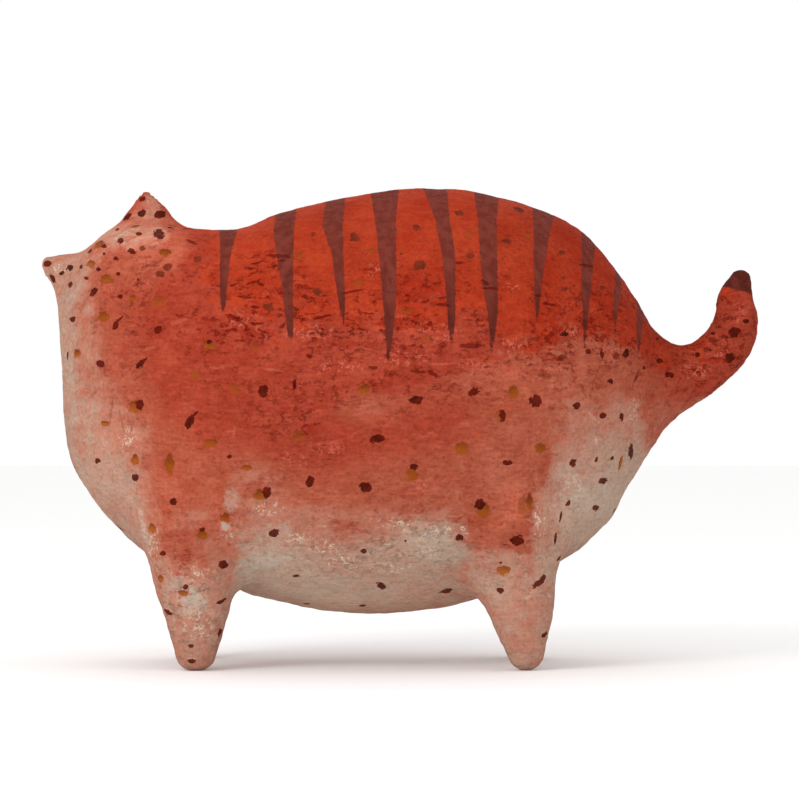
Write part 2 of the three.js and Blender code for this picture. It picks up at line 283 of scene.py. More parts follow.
# Thinner, browner dabs that the vermilion shows through
THIN_DABS = (
    (-119.5, 194.8, 4.2, 3), (-115.8, 198.5, 4.6, 3, 25), (-101.3, 202.2, 4.6, 3.2),
    (-65.6, 178.2, 5, 4), (-128.6, 208, 3.2), (-22.5, 213.4, 4.8), (8.5, 218, 4, 3),
    (10.2, 199.3, 6, 5), (-40.8, 186, 4.4), (-43.3, 214.7, 3, 2), (29.5, 225.3, 4.4, 2.4),
    (35.3, 204.3, 4.2, 3), (53.5, 211.4, 4.4, 2.8), (59.8, 227, 6.4, 3, -30), (81.2, 205.5, 3),
    (82.3, 187.3, 2.6, 1.8), (82, 193, 1.8), (101.2, 188, 2.4), (81, 153.3, 3.8), (0.7, 205, 1.4),
)
OCHRE_DABS = (
    (-150.2, 209.7, 6, 4.6), (-154.4, 200, 4.6), (-146.5, 192.3, 6), (-132, 218.8, 4.4, 3.4),
    (-117.2, 205.5, 5.2, 3.6), (-133.6, 182.7, 4), (-147.7, 173.6, 6), (-161.4, 155, 3.4, 4),
    (-95, 159.5, 5), (-132.5, 128.5, 6, 6.5), (-147.3, 120, 4, 3), (-94.3, 110.4, 6.5, 3.8),
    (-132.2, 101.7, 4, 5.6), (-115, 99.7, 5, 9.5), (-76, 98, 6, 3), (-123.9, 67.8, 4, 5.4),
    (-98.7, 64.5, 4.6), (-87.2, 73.1, 5), (-70, 84.5, 5.5), (-119.5, 42.5, 3, 3.6),
    (-108, 35.4, 5, 3), (-18.2, 137.4, 5.4, 4.4), (31.2, 107.8, 6.6), (6.2, 95, 6, 7),
    (42, 76.5, 5.6, 6.5), (57, 135.9, 5, 7.6), (70.4, 107.8, 4.6, 5.4), (52, 46.9, 6, 4.4),
    (110.5, 100.6, 8, 1.6, 80), (64.8, 81, 3.4, 9),
)
FAINT_OCHRE_DABS = (
    (-120.8, 180.7, 7), (-101.7, 144.6, 6), (-82.2, 137.6, 6), (-51, 114, 6), (50.3, 123.6, 6.5),
    (-72.3, 158.3, 4), (-13.8, 206.4, 4, 2.6), (-50.7, 204.3, 5), (-20.9, 190.6, 5),
    (3.6, 176.5, 6, 4), (13, 162.4, 5), (34.9, 215, 4), (64.3, 214.3, 3.6), (61.5, 79, 5, 10),
)
FAINT_STRENGTH = 0.55
# Places where the top paint has flaked to the pale paper
PALE_DABS = (
    (-103.5, 30.5, 13, 12), (-66.8, 51, 22, 10), (-87, 68.6, 5, 4),
)
THIN_PALE_DABS = (
    (-34, 37, 90, 15), (20, 58, 24, 14), (98, 84, 20, 34, 50), (-60, 66, 12, 8), (-84, 81.5, 7, 9),
    (-110.5, 40, 10, 7, 30),
)
THIN_PALE_STRENGTH = 0.5
# Thin, light brush strokes
SMEARS = (
    (-106, 128.4, 8, 4), (33.8, 120, 11, 2.4, 8), (49.5, 104, 7, 4.5, -20),
    (-36, 110.4, 13, 1.8, 8), (-35, 107.6, 9, 1.5, -15), (14.9, 115, 6, 1.5, 25),
    (-22.9, 114.5, 3.4, 1.2, 40), (-41.7, 126.7, 4, 1.2), (9.8, 91, 9, 2.2, -20),
    (8.8, 85.9, 22, 1.2, 12), (-36, 83.8, 22, 1, 2), (34.3, 84.4, 6, 1.3, 58), (30.9, 80.3, 3, 1.4),
    (37.6, 67, 5.5, 1.3, -35), (43, 60.4, 6, 2.6, 60), (46.2, 68.5, 3.6, 1.2, 45),
    (49.8, 76.2, 3, 1.2, 30), (57.5, 117, 4.4, 1.3, 45), (74.8, 122.6, 3.4, 1.4, 30),
    (73.8, 108.8, 3.4, 1.2, 45), (97, 123.6, 7, 1.8, -50), (98.3, 111.4, 4.6, 1.4, -70),
    (88.6, 83.8, 6, 1.4, 30), (86.5, 92, 7, 1.7, 40), (65.6, 34.9, 7, 1.6, 50),
    (74.8, 33.8, 4.4, 1, -60), (11.5, 91.5, 3.4, 1.2), (-35, 69, 12, 1.2, 3),
    (-8.6, 58.3, 8, 2, 25), (-81.5, 102.7, 5, 3), (-124, 158, 8, 2, 20), (-92, 148, 14, 1.6, 8),
    (-110, 171, 9, 1.6, 15), (22, 150, 16, 1.6, 4), (62, 147, 14, 1.8, 12), (-64, 147, 9, 1.4, -6),
    (-128.5, 70, 16, 2.2, 100), (56.5, 79, 13, 1.3, 90), (59, 80, 15, 1.3, 88),
    (61.5, 79, 14, 1.3, 92), (54.5, 82, 9, 1.2, 90),
)
# Areas crowded with pale flecks, where a brush has skipped over the pulp
FLECKED = (
    (-52.4, 102.2, 11, 6, -20), (-36, 108, 15, 6), (-64.7, 77.7, 15, 7), (-9.6, 71, 17, 5),
    (1.6, 69.5, 14, 6), (-37, 58.3, 14, 7), (-29, 51, 17, 8), (15.9, 60.4, 13, 14), (10, 89, 9, 6),
    (125.3, 124.7, 5, 6), (88, 88, 9, 12, 40), (33, 70, 6, 12), (-92, 80, 8, 16), (-122, 60, 8, 20),
    (86, 166, 9, 7), (-30, 148, 24, 7), (58, 160, 16, 8, 20), (-78, 172, 16, 9), (20, 165, 20, 10),
    (104, 156, 16, 7), (-128, 228, 9, 9), (-170, 198, 8, 5), (-146, 190, 9, 9), (-2, 200, 6, 5),
    (-13, 197, 8, 6), (56, 188, 8, 6), (-128, 200, 9, 6), (-82, 116, 9, 5), (-136, 112, 8, 14),
    (-134, 215, 20, 8, 25), (-152, 205, 12, 7), (-104, 47, 20, 10), (-100, 20, 16, 14),
    (-88, 66, 12, 12), (-46, 166, 26, 7), (4, 153, 24, 8), (40, 148, 20, 8), (80, 148, 20, 7),
    (148, 146, 16, 9), (170, 176, 6, 10), (162, 156, 9, 9), (118, 128, 8, 12), (70, 72, 7, 16),
    (-52, 63, 12, 6), (24, 67, 16, 6), (-4, 48, 24, 6), (58, 80, 11, 15),
)

# Cracks in the pulp, mostly level, where the vermilion ends; they are painted dark red, partly as
# darker paint left in them and partly as painted shade
CRACKS = (
    (-59.4, 204, 11.5, 1.5, -5), (-58.6, 201.6, 4, 1.1), (-62.3, 199, 3.5, 1.1, 15),
    (-71, 200.6, 6, 1.1, 15), (-73.5, 197.7, 4, 1, 12), (-72.3, 191, 7, 1.1, 20),
    (-69.4, 189.8, 3, 1.2, -25), (-83, 189.4, 4, 1.1, 20), (-79.3, 183.6, 4, 1.1),
    (-71.9, 178.3, 4, 1.2), (-81, 172.4, 7, 1.8, -25), (-71, 170, 6, 1.4, 10),
    (-58.6, 169, 4, 1.3, 30), (-23, 186.5, 10, 1, 12), (-38, 173.6, 9, 1.1, 15),
    (-13, 148, 5, 1.5, -10), (8.6, 146, 8, 1.2, -3), (29.9, 200.6, 5, 1.1),
    (21.6, 179.5, 6, 1.3, -5), (45.7, 187.7, 9, 1.1, -3), (35.7, 159, 11, 2.2),
    (16.6, 145, 7, 1.7, -30), (93.7, 199, 6, 1.4), (118.6, 143.4, 7, 1.1, 70),
    (43.2, 190.6, 4, 1.6, -30), (69.7, 184, 4, 1.1, -10), (74.7, 179.8, 6, 1, -8),
    (-104, 211, 6, 1.6, -20),
)
# Fine scratches in the pale chest, painted faintly in the same crevice red and painted shade
SCRATCHES = (
    (-144, 127, 14, 1, 80), (-139, 121, 12, 1, 100), (-134, 118, 9, 0.9, 75),
    (-152, 136, 6, 0.8, 50),
)
SCRATCH_STRENGTH = 0.35

# Seeded dabs on the sides that the eye doesn't see
SCATTER_SEED = 7
SCATTER_TRIES = 2600
SCATTER_SIZES = (2.2, 5.2)
SCATTER_GAP = 8.5
HEAD_END = -95.0
HEAD_GAP = 5.0
OCHRE_SHARE = 0.3
HIDDEN_FACING = -0.12
LOWEST_DAB = 6.0

# The face, on the cat's right: middle of the ear line, lean of the head, and features as
# (sideways, down, length, width, tilt)
EAR_LINE = (-152.9, 218.0)
HEAD_LEAN = math.radians(35.0)
FACE_EYE = 500.0
EYE_RIMS = ((-19, 36, 14, 9.5, -12), (19, 36, 14, 9.5, 12))
EYE_IRISES = ((-19, 36, 11, 7.2, -12), (19, 36, 11, 7.2, 12))
EYE_PUPILS = ((-18.5, 36, 2.8, 6.4, 0), (18.5, 36, 2.8, 6.4, 0))
NOSE_AND_MOUTH = (
    (0, 56, 8.5, 5, 0), (0, 62, 1.6, 8, 0), (-3.2, 67.2, 7.4, 1.5, 32), (3.2, 67.2, 7.4, 1.5, -32),
    (-8.6, 67.6, 6.4, 1.4, -30), (8.6, 67.6, 6.4, 1.4, 30),
)
WHISKERS = (
    (-25, 57, 22, 0.9, -14), (-26, 62, 24, 0.9, 0), (-25, 67, 22, 0.9, 14), (25, 57, 22, 0.9, 14),
    (26, 62, 24, 0.9, 0), (25, 67, 22, 0.9, -14),
)

# Dabs are stored as their own flat coordinates on the skin around them
DAB_MARGIN = 3.0
FAR_OFF = 50.0
LEAST_FACING = 0.4
ROUND_WIDTH = 0.86

# Paint colours as seen on the cat, in 8-bit sRGB,
# and the share of them that the bright studio asks for
PAINT_SHADE = 0.65
VERMILION_LIT = (197, 71, 41)
VERMILION_DULL = (174, 48, 23)
DEEP_RED = (152, 34, 18)
SALMON_LIT = (196, 108, 83)
SALMON_DEEP = (180, 83, 59)
FLUSHED_LIT = (187, 78, 56)
FLUSHED_DEEP = (166, 58, 39)
PINK = (198, 126, 103)
CREAM = (204, 168, 146)
GREY_CREAM = (188, 156, 136)
STRIPE_LIT = (134, 62, 50)
STRIPE_DEEP = (116, 49, 40)
STRIPE_TIP = (88, 36, 28)
DARK_LIT = (112, 26, 11)
DARK_DEEP = (66, 15, 7)
THIN_LIT = (138, 54, 34)
THIN_DEEP = (106, 38, 22)
OCHRE_LIT = (178, 92, 22)
OCHRE_DEEP = (98, 44, 14)
OCHRE_ON_RED = (148, 66, 22)
PALE_FLAKE = (210, 196, 178)
# Crevice colours on red and on pale paint: partly darker paint left in the hollows, partly painted
# shade
CREVICE_RED_AND_SHADE = (110, 13, 5)
PALE_CREVICE_AND_SHADE = (140, 104, 86)
FLECK = (218, 112, 88)
PALE_FLECK = (236, 214, 190)
IRIS = (186, 150, 70)

# How each kind of mark covers the coat: its strength, the softness of its outline and how torn it is
MARK_STYLES = {
    "smear": (0.4, 0.5, 1.0),
    "pale": (0.7, 0.5, 1.4),
    "flecked": (1.0, 0.5, 0.6),
    "ochre": (0.92, 0.16, 0.8),
    "thin": (0.9, 0.12, 0.9),
    "dark": (0.95, 0.07, 0.85),
    "crack": (0.75, 0.3, 1.2),
    "face": (1.0, 0.1, 0.3),
    "iris": (1.0, 0.06, 0.15),
    "pupil": (1.0, 0.06, 0.15),
}
STRIPE_COVER = 0.95
STRIPE_TIP_COVER = 0.8
RED_OCHRE_COVER = 0.45
BLOTCH_COVER = 0.75
FOLD_COVER = 0.85
PIT_COVER = 0.8
CURL_COVER = 0.85
# Heights of the wear in the bump, as shares of its depth
PIT_HEIGHT = -0.7
FOLD_HEIGHT = -0.5
CRACK_HEIGHT = -1.2

# Sizes of the paint's noises; brush strokes run level, so theirs are drawn out sideways
CLOUD_SIZE = 38.0
PATCH_SIZE = 13.0
STROKE_SIZE = 5.5
RAGGED_SIZE = 5.0
GRAIN_SIZE = 1.7
STREAK_SIZE = 1.6
BRUSH_MARK_SIZE = 4.0
WORN_SIZE = 17.0
PIT_SIZE = 2.6
CURL_SIZE = 3.0
CURL_BREAK = 2.6
FOLD_SIZE = 7.0
FOLD_BREAK = 5.0
WOBBLE_SIZE = 2.6
SHARD_SIZE = 2.0
SHARD_SHIFT = 0.5
LEVEL_STRETCH = (0.28, 0.28, 1.0)
PIT_STRETCH = (0.6, 0.6, 1.0)
FOLD_STRETCH = (0.5, 0.5, 1.0)
UPRIGHT_STRETCH = (1.0, 1.0, 0.18)
BUMP_STRENGTH = 0.8
BUMP_DEPTH = 0.8
PAINT_ROUGHNESS = 0.7
PAINT_GLOSS = 0.02

# Studio
FLOOR_SIZE = 12000.0
FLOOR_COLOUR = (0.96, 0.955, 0.95)
FLOOR_ROUGHNESS = 0.8
WORLD_LIGHT = 1.0
# Lights as place, target and size in metres, and power in watts
KEY_LIGHT = ((-1.4, -1.7, 1.3), (0, 0, 0.12), 1.0, 22.0)
FILL_LIGHT = ((-0.3, -2.1, 0.25), (0, 0, 0.1), 1.4, 11.0)


def paint(colour):
    """A colour of the seen cat as the linear RGBA that shader sockets take."""
    parts = [c / 255 for c in colour]
    parts = [c / 12.92 if c <= 0.04045 else ((c + 0.055) / 1.055) ** 2.4 for c in parts]
    return (*(PAINT_SHADE * c for c in parts), 1.0)


# Skin

def even_copy(solid):
    """A dense copy of the solid with even faces, as a new object."""
    mesh = solid.data.copy()
    mesh.materials.clear()
    welder = bmesh.new()
    welder.from_mesh(mesh)
    bmesh.ops.remove_doubles(welder, verts=welder.verts, dist=WELD * MM)
    welder.to_mesh(mesh)
    welder.free()
    skin = bpy.data.objects.new("papier_mache_cat", mesh)
    bpy.context.scene.collection.objects.link(skin)
    remesh = skin.modifiers.new("even_faces", "REMESH")
    remesh.mode = "VOXEL"
    remesh.voxel_size = SKIN_STEP * MM
    graph = bpy.context.evaluated_depsgraph_get()
    dense = bpy.data.meshes.new_from_object(skin.evaluated_get(graph))
    skin.modifiers.clear()
    skin.data = dense
    return skin


def vertex_points(mesh):
    """Vertex positions in millimetres."""
    points = np.empty(len(mesh.vertices) * 3)
    mesh.vertices.foreach_get("co", points)
    return points.reshape(-1, 3) / MM


def vertex_normals(mesh):
    """Unit vertex normals."""
    normals = np.empty(len(mesh.vertices) * 3)
    mesh.vertex_normals.foreach_get("vector", normals)
    return normals.reshape(-1, 3)


def move_vertices(mesh, points):
    """Writes positions in millimetres back to the mesh."""
    mesh.vertices.foreach_set("co", (points * MM).ravel())
    mesh.update()


def edge_pairs(mesh):
    """Vertex pairs that share an edge."""
    edges = np.empty(len(mesh.edges) * 2, dtype=np.int32)
    mesh.edges.foreach_get("vertices", edges)
    return edges.reshape(-1, 2)


def eased(points, edges, weights):
    """The points after one smoothing round for each weight, which may differ by point."""
    count = np.bincount(edges.ravel(), minlength=len(points))[:, None]
    for weight in weights:
        total = np.zeros_like(points)
        np.add.at(total, edges[:, 0], points[edges[:, 1]])
        np.add.at(total, edges[:, 1], points[edges[:, 0]])
        points = points + weight * (total / count - points)
    return points


def smooth_form(points, edges):
    """The form without the solid's facets, and with rounded feet that still stand on the floor."""
    points = eased(points, edges, (SMOOTH_IN, SMOOTH_OUT) * SMOOTHING_ROUNDS)
    near_floor = np.clip(1 - points[:, 2:] / FOOT_TOP, 0, 1)
    points = eased(points, edges, [SMOOTH_IN * near_floor] * FOOT_ROUNDS)
    points[:, 2:] -= points[:, 2].min() * near_floor
    return points


def swelled(points, normals):
    """The form with its outline swelled and hollowed."""
    push = np.zeros(len(points))
    for x, z, reach, height in SWELLINGS:
        distance = ((points[:, 0] - x) ** 2 + (points[:, 2] - z) ** 2) / reach ** 2
        push += height * np.exp(-distance)
    push *= 1 - normals[:, 1] ** 2
    return points + normals * push[:, None]


def folded(points, normals):
    """The form with shallow folds beside its legs."""
    flat = points[:, [0, 2]]
    push = np.zeros(len(points))
    for start, end, reach, depth in LEG_FOLDS:
        offset = flat - start
        run = np.subtract(end, start)
        along = np.clip(offset @ run / (run @ run), 0, 1)
        distance = np.linalg.norm(offset - along[:, None] * run, axis=1)
        push -= depth * np.exp(-(distance / reach) ** 2)
    push *= normals[:, 1] ** 2
    return points + normals * push[:, None]


def noise_field(points, size, octaves=2, shift=0.0):
    """Smooth noise of about -1 to 1 with features of that size."""
    places = (points / size + shift).tolist()
    return np.array([noise.fractal(place, 1.0, 2.0, octaves) for place in places])


def pressed_relief(points, rough):
    """Height of the hand-pressed pulp above the smooth form."""
    height = np.zeros(len(points))
    for index, (size, lump) in enumerate(LUMPS):
        height += lump * noise_field(points, size, 2, 10.0 * index)
    pulp = PULP_HEIGHT + (ROUGH_PULP_HEIGHT - PULP_HEIGHT) * rough
    return height + pulp * noise_field(points, PULP_SIZE, 2, 50.0)


# Paint maps

def side_view(points):
    """Across and up of each point as seen on the middle plane from its own side."""
    nearness = EYE_DISTANCE / (EYE_DISTANCE - np.abs(points[:, 1]))
    across = (points[:, 0] - EYE_SHIFT) * nearness
    up = EYE_HEIGHT + (points[:, 2] - EYE_HEIGHT) * nearness
    return across, up


def rise_above(edge, across, up):
    """Distance above a painted edge, in millimetres."""
    edge_across, edge_up = zip(*edge)
    here = np.interp(across, edge_across, edge_up)
    ahead = np.interp(across + 2, edge_across, edge_up)
    behind = np.interp(across - 2, edge_across, edge_up)
    slope = (ahead - behind) / 4
    return (up - here) / np.sqrt(1 + slope ** 2)


def washed(base, washes, across, up):
    """A map that soft oval washes pull away from its base."""
    value = np.zeros(len(across)) + base
    for wash_across, wash_up, half_width, half_height, target in washes:
        distance = ((across - wash_across) / half_width) ** 2 + ((up - wash_up) / half_height) ** 2
        weight = np.exp(-distance)
        value += weight * (target - value)
    return value


def stripe_depth(points, across, up):
    """How far inside a stripe each point is, in millimetres, and how near its tip, 0 to 1."""
    dice = random.Random(SCATTER_SEED)
    depth = np.full(len(across), -FAR_OFF)
    run = np.zeros(len(across))
    for stripe in STRIPES:
        stretch = dice.uniform(*FAR_STRETCH)
        levels, centres, widths = (np.array(row, float) for row in zip(*reversed(stripe)))
        far_up = levels[-1] - (levels[-1] - up) / stretch
        level = np.where(points[:, 1] > 0, far_up, up)
        half = np.interp(level, levels, widths) / 2
        below_tip = np.maximum(levels[0] - level, 0)
        inside = half - np.abs(across - np.interp(level, levels, centres)) - below_tip
        run = np.where(inside > depth, (levels[-1] - level) / (levels[-1] - levels[0]), run)
        depth = np.maximum(depth, inside)
    return depth, run


def tip_depth(points):
    """How far inside the dark tail tip each point is, in millimetres."""
    start = TIP_LEVEL + TIP_SLOPE * (points[:, 0] - TIP_FROM_X)
    return np.where(points[:, 0] > TIP_START_X, points[:, 2] - start, -FAR_OFF)


# Dabs

Dab = namedtuple("Dab", "centre normal right up sizes tilt strength reach")


def dab_on_skin(tree, origin, aim, length, width=None, tilt=0.0, strength=1.0):
    """A dab whose outline has the given size when it is looked at along the ray that places it."""
    centre, normal, _, _ = tree.ray_cast(origin, aim)
    if centre is None:
        centre, normal, _, _ = tree.find_nearest(origin - aim * (origin.y / aim.y))
    width = length * ROUND_WIDTH if width is None else width
    facing = max(abs(normal.dot(aim)), LEAST_FACING)
    away = (aim - normal * normal.dot(aim)).normalized()
    level = normal.cross(away)
    away_seen = Vector((away.x, 0, away.z)).normalized() * facing
    right = level * level.x + away * away_seen.x
    up = level * level.z + away * away_seen.z
    reach = max(length, width) / 2 / facing + DAB_MARGIN
    return Dab(centre, normal, right, up, (length / 2, width / 2), math.radians(tilt), strength, reach)


def seen_dabs(tree, rows, strength=1.0):
    """Dabs placed from the eye on the cat's left."""
    eye = Vector((EYE_SHIFT, -EYE_DISTANCE, EYE_HEIGHT))
    dabs = []
    for across, up, *shape in rows:
        target = Vector((across + EYE_SHIFT, 0, up))
        dabs.append(dab_on_skin(tree, eye, (target - eye).normalized(), *shape, strength=strength))
    return dabs


def face_dabs(tree, rows):
    """Dabs placed on the face, which looks to the cat's right."""
    dabs = []
    for sideways, down, length, width, tilt in rows:
        x = EAR_LINE[0] + sideways * math.cos(HEAD_LEAN) + down * math.sin(HEAD_LEAN)
        z = EAR_LINE[1] + sideways * math.sin(HEAD_LEAN) - down * math.cos(HEAD_LEAN)
        origin = Vector((x, FACE_EYE, z))
        leaning = tilt + math.degrees(HEAD_LEAN)
        dabs.append(dab_on_skin(tree, origin, Vector((0, -1, 0)), length, width, leaning))
    return dabs


def scattered_dabs(points, normals, taken):
    """Seeded dark and ochre dabs on the hidden sides, clear of the marks already there."""
    dice = random.Random(SCATTER_SEED)
    dark = []
    ochre = []
    for _ in range(SCATTER_TRIES):
        index = dice.randrange(len(points))
        size = dice.uniform(*SCATTER_SIZES)
        width = size * dice.uniform(0.55, 1.0)
        tilt = dice.uniform(0, math.pi)
        is_ochre = dice.random() < OCHRE_SHARE
        centre = Vector(points[index])
        normal = Vector(normals[index])
        gap = HEAD_GAP if centre.x < HEAD_END else SCATTER_GAP
        if normal.y < HIDDEN_FACING or centre.z < LOWEST_DAB:
            continue
        near = [dab for dab in taken if (dab.centre - centre).length < dab.sizes[0] + size / 2 + gap]
        if near:
            continue
        right = normal.orthogonal().normalized()
        up = normal.cross(right)
        reach = size / 2 + DAB_MARGIN
        dab = Dab(centre, normal, right, up, (size / 2, width / 2), tilt, 1.0, reach)
        taken.append(dab)
        (ochre if is_ochre else dark).append(dab)
    return dark, ochre


def far_apart(dab, other):
    """Whether two dabs share no vertex."""
    gap = dab.reach + other.reach + 2 * SKIN_STEP
    return (dab.centre - other.centre).length > gap


def dab_layers(dabs):
    """Dabs sorted into layers in which no two come near each other."""
    layers = []
    for dab in dabs:
        for layer in layers:
            if all(far_apart(dab, other) for other in layer):
                layer.append(dab)
                break
        else:
            layers.append([dab])
    return layers


def store_float(mesh, name, values):
    """One number for each vertex, for the material to read."""
    attribute = mesh.attributes.new(name, "FLOAT", "POINT")
    attribute.data.foreach_set("value", np.ascontiguousarray(values, dtype=np.float32))


def store_dabs(mesh, group, dabs, points, normals, finder):
    """Writes each layer of a group of dabs as flat coordinates; returns the layer names."""
    names = []
    for number, layer in enumerate(dab_layers(dabs)):
        values = np.zeros((len(points), 4), dtype=np.float32)
        values[:, 2] = FAR_OFF
        for dab in layer:
            cosine = math.cos(dab.tilt)
            sine = math.sin(dab.tilt)
            for place, index, _ in finder.find_range(dab.centre, dab.reach):
                if Vector(normals[index]).dot(dab.normal) < 0:
                    continue
                offset = place - dab.centre
                right = offset.dot(dab.right)
                up = offset.dot(dab.up)
                along = (right * cosine + up * sine) / dab.sizes[0]
                beside = (up * cosine - right * sine) / dab.sizes[1]
                values[index] = (along, beside, 0, dab.strength)
        name = f"{group}_{number}"
        attribute = mesh.attributes.new(name, "FLOAT_COLOR", "POINT")
        attribute.data.foreach_set("color", values.ravel())
        names.append(name)
    return names


def paint_dabs(mesh, points, normals):
    """Places every dab and stores them; returns the layer names of each group."""
    faces = [tuple(face.vertices) for face in mesh.polygons]
    tree = BVHTree.FromPolygons([Vector(point) for point in points], faces)
    finder = KDTree(len(points))
    for index, point in enumerate(points):
        finder.insert(point, index)
    finder.balance()
    crisp = HEAD_DABS + CHEST_DABS + FLANK_DABS + RUMP_DABS + LEG_DABS + TAIL_DABS
    groups = {
        "pale": seen_dabs(tree, PALE_DABS),
        "smear": seen_dabs(tree, SMEARS),
        "flecked": seen_dabs(tree, FLECKED),
        "ochre": seen_dabs(tree, OCHRE_DABS),
        "crack": seen_dabs(tree, CRACKS),
        "thin": seen_dabs(tree, THIN_DABS),
        "dark": seen_dabs(tree, crisp),
        "face": face_dabs(tree, EYE_RIMS + NOSE_AND_MOUTH + WHISKERS),
        "iris": face_dabs(tree, EYE_IRISES),
        "pupil": face_dabs(tree, EYE_PUPILS),
    }
    groups["pale"] += seen_dabs(tree, THIN_PALE_DABS, THIN_PALE_STRENGTH)
    groups["ochre"] += seen_dabs(tree, FAINT_OCHRE_DABS, FAINT_STRENGTH)
    groups["crack"] += seen_dabs(tree, SCRATCHES, SCRATCH_STRENGTH)
    taken = [dab for group in ("ochre", "thin", "dark", "face") for dab in groups[group]]
    dark, ochre = scattered_dabs(points, normals, taken)
    groups["dark"] += dark
    groups["ochre"] += ochre
    layers = {}
    for group, dabs in groups.items():
        layers[group] = store_dabs(mesh, group, dabs, points, normals, finder)
    return layers


# Material

class Nodes:
    """Adds shader nodes and links them; a value can be a socket or a constant."""

    def __init__(self, tree):
        self.tree = tree

    def put(self, socket, value):
        if isinstance(value, bpy.types.NodeSocket):
            self.tree.links.new(value, socket)
        else:
            socket.default_value = value

    def add(self, kind):
        return self.tree.nodes.new(kind)

    def math(self, operation, *values):
        node = self.add("ShaderNodeMath")
        node.operation = operation
        for socket, value in zip(node.inputs, values):
            self.put(socket, value)
        return node.outputs[0]

    def times(self, first, second):
        return self.math("MULTIPLY", first, second)

    def plus(self, first, second):
        return self.math("ADD", first, second)

    def total(self, *terms):
        """Sum of (weight, value) terms, each value centred on a half."""
        result = 0.0
        for weight, value in terms:
            result = self.math("MULTIPLY_ADD", self.math("SUBTRACT", value, 0.5), weight, result)
        return result

    def vector(self, operation, first, second):
        node = self.add("ShaderNodeVectorMath")
        node.operation = operation
        self.put(node.inputs[0], first)
        self.put(node.inputs["Scale"] if operation == "SCALE" else node.inputs[1], second)
        return node.outputs[0]

    def length(self, value):
        node = self.add("ShaderNodeVectorMath")
        node.operation = "LENGTH"
        self.put(node.inputs[0], value)
        return node.outputs["Value"]

    def ramp(self, value, start, end):
        """Smooth step from 0 at start to 1 at end."""
        node = self.add("ShaderNodeMapRange")
        node.interpolation_type = "SMOOTHSTEP"
        self.put(node.inputs["Value"], value)
        low, high = min(start, end), max(start, end)
        node.inputs["From Min"].default_value = low
        node.inputs["From Max"].default_value = high
        node.inputs["To Min"].default_value = 0.0 if start < end else 1.0
        node.inputs["To Max"].default_value = 1.0 if start < end else 0.0
        return node.outputs["Result"]

    def mix(self, factor, first, second):
        node = self.add("ShaderNodeMix")
        node.data_type = "RGBA"
        self.put(node.inputs["Factor"], factor)
        colours = [socket for socket in node.inputs if socket.type == "RGBA"]
        self.put(colours[0], first)
        self.put(colours[1], second)
        return [socket for socket in node.outputs if socket.type == "RGBA"][0]

    def noise(self, place, size, detail=3.0, roughness=0.5, colour=False):
        node = self.add("ShaderNodeTexNoise")
        self.put(node.inputs["Vector"], place)
        node.inputs["Scale"].default_value = 1 / size
        node.inputs["Detail"].default_value = detail
        node.inputs["Roughness"].default_value = roughness
        return node.outputs["Color" if colour else "Fac"]

    def shards(self, place, size):
        """A random colour in each of many angular cells."""
        node = self.add("ShaderNodeTexVoronoi")
        self.put(node.inputs["Vector"], place)
        node.inputs["Scale"].default_value = 1 / size
        return node.outputs["Color"]

    def line(self, value, width):
        """Thin curves where a noise passes its middle."""
        return self.ramp(self.math("ABSOLUTE", self.math("SUBTRACT", value, 0.5)), width, width / 4)

    def attribute(self, name):
        node = self.add("ShaderNodeAttribute")
        node.attribute_name = name
        return node.outputs


def paper_noises(make):
    """The places and noises that the paint shares, by name."""
    coordinates = make.add("ShaderNodeTexCoord").outputs["Object"]
    place = make.vector("SCALE", coordinates, 1 / MM)
    level = make.vector("MULTIPLY", place, LEVEL_STRETCH)
    upright = make.vector("MULTIPLY", place, UPRIGHT_STRETCH)
    return SimpleNamespace(
        place=place,
        cloudy=make.noise(place, CLOUD_SIZE, 3),
        patchy=make.noise(place, PATCH_SIZE, 4, 0.6),
        strokes=make.noise(level, STROKE_SIZE, 4, 0.6),
        ragged=make.noise(place, RAGGED_SIZE, 5, 0.65),
        grain=make.noise(place, GRAIN_SIZE, 3, 0.6),
        streaks=make.noise(level, STREAK_SIZE, 3, 0.6),
        uprights=make.noise(upright, STREAK_SIZE, 3, 0.6),
        brush_marks=make.noise(upright, BRUSH_MARK_SIZE, 2, 0.5),
        worn=make.noise(place, WORN_SIZE, 3, 0.6),
    )


